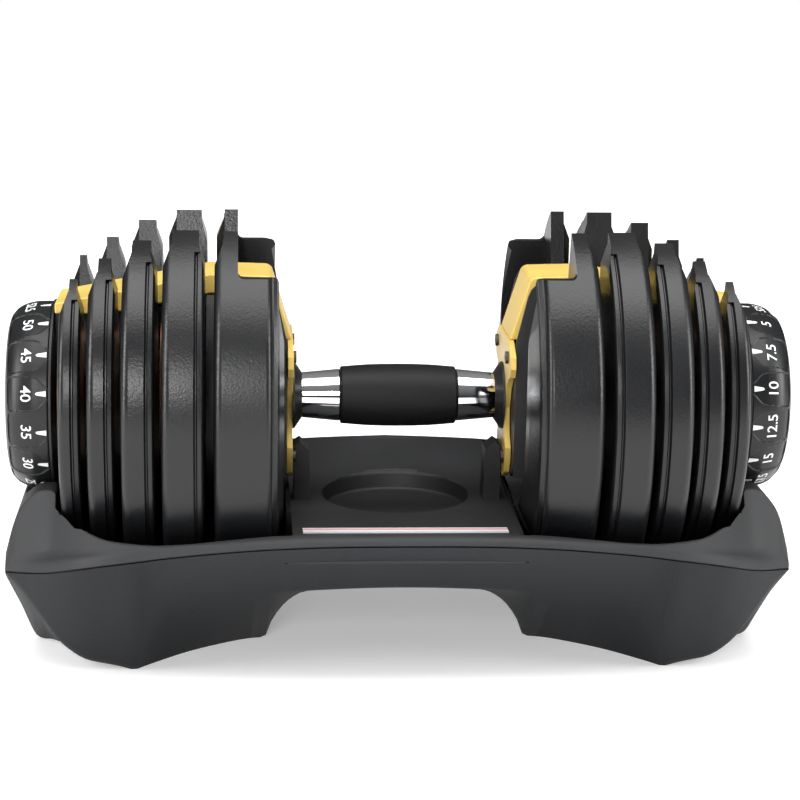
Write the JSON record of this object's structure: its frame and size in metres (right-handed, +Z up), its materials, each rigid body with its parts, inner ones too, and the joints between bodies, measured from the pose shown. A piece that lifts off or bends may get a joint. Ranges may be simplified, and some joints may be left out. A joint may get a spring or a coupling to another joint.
{
  "type": "adjustable dumbbell",
  "caption": "Dial-set adjustable dumbbell docked in a moulded base: slotted weight plates on each side of a chrome handle with a rubber grip, picked up by coded selector discs.",
  "frame": {"origin": "floor, under the middle of the base", "axes": "+X along the handle, +Z up, -Y the front edge with the label strip"},
  "size_m": [0.406, 0.212, 0.2244],
  "materials": {
    "plate_black": "moulded, leathery grain",
    "core_steel": "rough cast",
    "base_charcoal": "fine grain",
    "tray_charcoal": "fine grain",
    "grip_rubber": "ribbed matte",
    "chrome_tube": "polished",
    "rod_steel": "turned",
    "collar_black": "satin",
    "yellow_plastic": "satin gloss",
    "frame_black": "satin",
    "dial_grey": "satin",
    "disc_amber": "satin",
    "foot_rubber": "matte",
    "screw_zinc": "plated",
    "label_print": "printed strip"
  },
  "bodies": {
    "base": {"base_tray": "tray_charcoal", "base_skirt": "base_charcoal", "base_feet": "foot_rubber", "base_screws": "screw_zinc", "deck_label": "label_print", "release_posts": "collar_black"},
    "handle": {"handle_tube": "chrome_tube", "grip_sleeve": "grip_rubber", "tie_rod": "rod_steel", "end_plate_screws": "screw_zinc", "lock_springs": "rod_steel", "end_nuts": "rod_steel", "left_collar": "collar_black", "left_end_plate": "yellow_plastic", "left_bridge_hood": "yellow_plastic", "left_bearing_frame": "frame_black", "right_collar": "collar_black", "right_end_plate": "yellow_plastic", "right_bridge_hood": "yellow_plastic", "right_bearing_frame": "frame_black"},
    "left_lock": {"left_lock_pin": "rod_steel"},
    "left_dial": {"left_dial_spindle": "frame_black", "left_dial_knob": "dial_grey", "left_dial_cap": "dial_grey", "left_selector_disc_1": "disc_amber", "left_selector_disc_2": "disc_amber", "left_selector_disc_3": "disc_amber", "left_selector_disc_4": "disc_amber", "left_selector_disc_5": "disc_amber"},
    "left_plate_1": {"left_plate_1_cover": "plate_black", "left_plate_1_core": "core_steel"},
    "left_plate_2": {"left_plate_2_cover": "plate_black", "left_plate_2_core": "core_steel"},
    "left_plate_3": {"left_plate_3_cover": "plate_black", "left_plate_3_core": "core_steel"},
    "left_plate_4": {"left_plate_4_cover": "plate_black", "left_plate_4_core": "core_steel"},
    "left_plate_5": {"left_plate_5_cover": "plate_black", "left_plate_5_core": "core_steel"},
    "right_lock": {"right_lock_pin": "rod_steel"},
    "right_dial": {"right_dial_spindle": "frame_black", "right_dial_knob": "dial_grey", "right_dial_cap": "dial_grey", "right_selector_disc_1": "disc_amber", "right_selector_disc_2": "disc_amber", "right_selector_disc_3": "disc_amber", "right_selector_disc_4": "disc_amber", "right_selector_disc_5": "disc_amber"},
    "right_plate_1": {"right_plate_1_cover": "plate_black", "right_plate_1_core": "core_steel"},
    "right_plate_2": {"right_plate_2_cover": "plate_black", "right_plate_2_core": "core_steel"},
    "right_plate_3": {"right_plate_3_cover": "plate_black", "right_plate_3_core": "core_steel"},
    "right_plate_4": {"right_plate_4_cover": "plate_black", "right_plate_4_core": "core_steel"},
    "right_plate_5": {"right_plate_5_cover": "plate_black", "right_plate_5_core": "core_steel"}
  },
  "joints": [
    {"name": "handle_lift", "type": "slide", "parent": "base", "child": "handle", "axis": [0, 0, 1], "range_m": [0, 0.2]},
    {"name": "left_lock_slide", "type": "slide", "parent": "handle", "child": "left_lock", "axis": [1, 0, 0], "range_m": [0, 0.004]},
    {"name": "left_dial_turn", "type": "hinge", "parent": "handle", "child": "left_dial", "pos_m": [-0.19, 0, 0.132], "axis": [-1, 0, 0], "range_deg": [0, 336]},
    {"name": "left_plate_1_lift", "type": "slide", "parent": "base", "child": "left_plate_1", "axis": [0, 0, 1], "range_m": [0, 0.2]},
    {"name": "left_plate_2_lift", "type": "slide", "parent": "base", "child": "left_plate_2", "axis": [0, 0, 1], "range_m": [0, 0.2]},
    {"name": "left_plate_3_lift", "type": "slide", "parent": "base", "child": "left_plate_3", "axis": [0, 0, 1], "range_m": [0, 0.2]},
    {"name": "left_plate_4_lift", "type": "slide", "parent": "base", "child": "left_plate_4", "axis": [0, 0, 1], "range_m": [0, 0.2]},
    {"name": "left_plate_5_lift", "type": "slide", "parent": "base", "child": "left_plate_5", "axis": [0, 0, 1], "range_m": [0, 0.2]},
    {"name": "right_lock_slide", "type": "slide", "parent": "handle", "child": "right_lock", "axis": [-1, 0, 0], "range_m": [0, 0.004]},
    {"name": "right_dial_turn", "type": "hinge", "parent": "handle", "child": "right_dial", "pos_m": [0.19, 0, 0.132], "axis": [1, 0, 0], "range_deg": [0, 336]},
    {"name": "right_plate_1_lift", "type": "slide", "parent": "base", "child": "right_plate_1", "axis": [0, 0, 1], "range_m": [0, 0.2]},
    {"name": "right_plate_2_lift", "type": "slide", "parent": "base", "child": "right_plate_2", "axis": [0, 0, 1], "range_m": [0, 0.2]},
    {"name": "right_plate_3_lift", "type": "slide", "parent": "base", "child": "right_plate_3", "axis": [0, 0, 1], "range_m": [0, 0.2]},
    {"name": "right_plate_4_lift", "type": "slide", "parent": "base", "child": "right_plate_4", "axis": [0, 0, 1], "range_m": [0, 0.2]},
    {"name": "right_plate_5_lift", "type": "slide", "parent": "base", "child": "right_plate_5", "axis": [0, 0, 1], "range_m": [0, 0.2]}
  ],
  "couplings": [
    {"joint": "left_lock_slide", "follows": "handle_lift", "ratio": 0.02},
    {"joint": "left_plate_1_lift", "follows": "handle_lift", "ratio": 1},
    {"joint": "left_plate_2_lift", "follows": "handle_lift", "ratio": 1},
    {"joint": "left_plate_3_lift", "follows": "handle_lift", "ratio": 1},
    {"joint": "left_plate_4_lift", "follows": "handle_lift", "ratio": 1},
    {"joint": "left_plate_5_lift", "follows": "handle_lift", "ratio": 1},
    {"joint": "right_lock_slide", "follows": "handle_lift", "ratio": 0.02},
    {"joint": "right_plate_1_lift", "follows": "handle_lift", "ratio": 1},
    {"joint": "right_plate_2_lift", "follows": "handle_lift", "ratio": 1},
    {"joint": "right_plate_3_lift", "follows": "handle_lift", "ratio": 1},
    {"joint": "right_plate_4_lift", "follows": "handle_lift", "ratio": 1},
    {"joint": "right_plate_5_lift", "follows": "handle_lift", "ratio": 1}
  ]
}
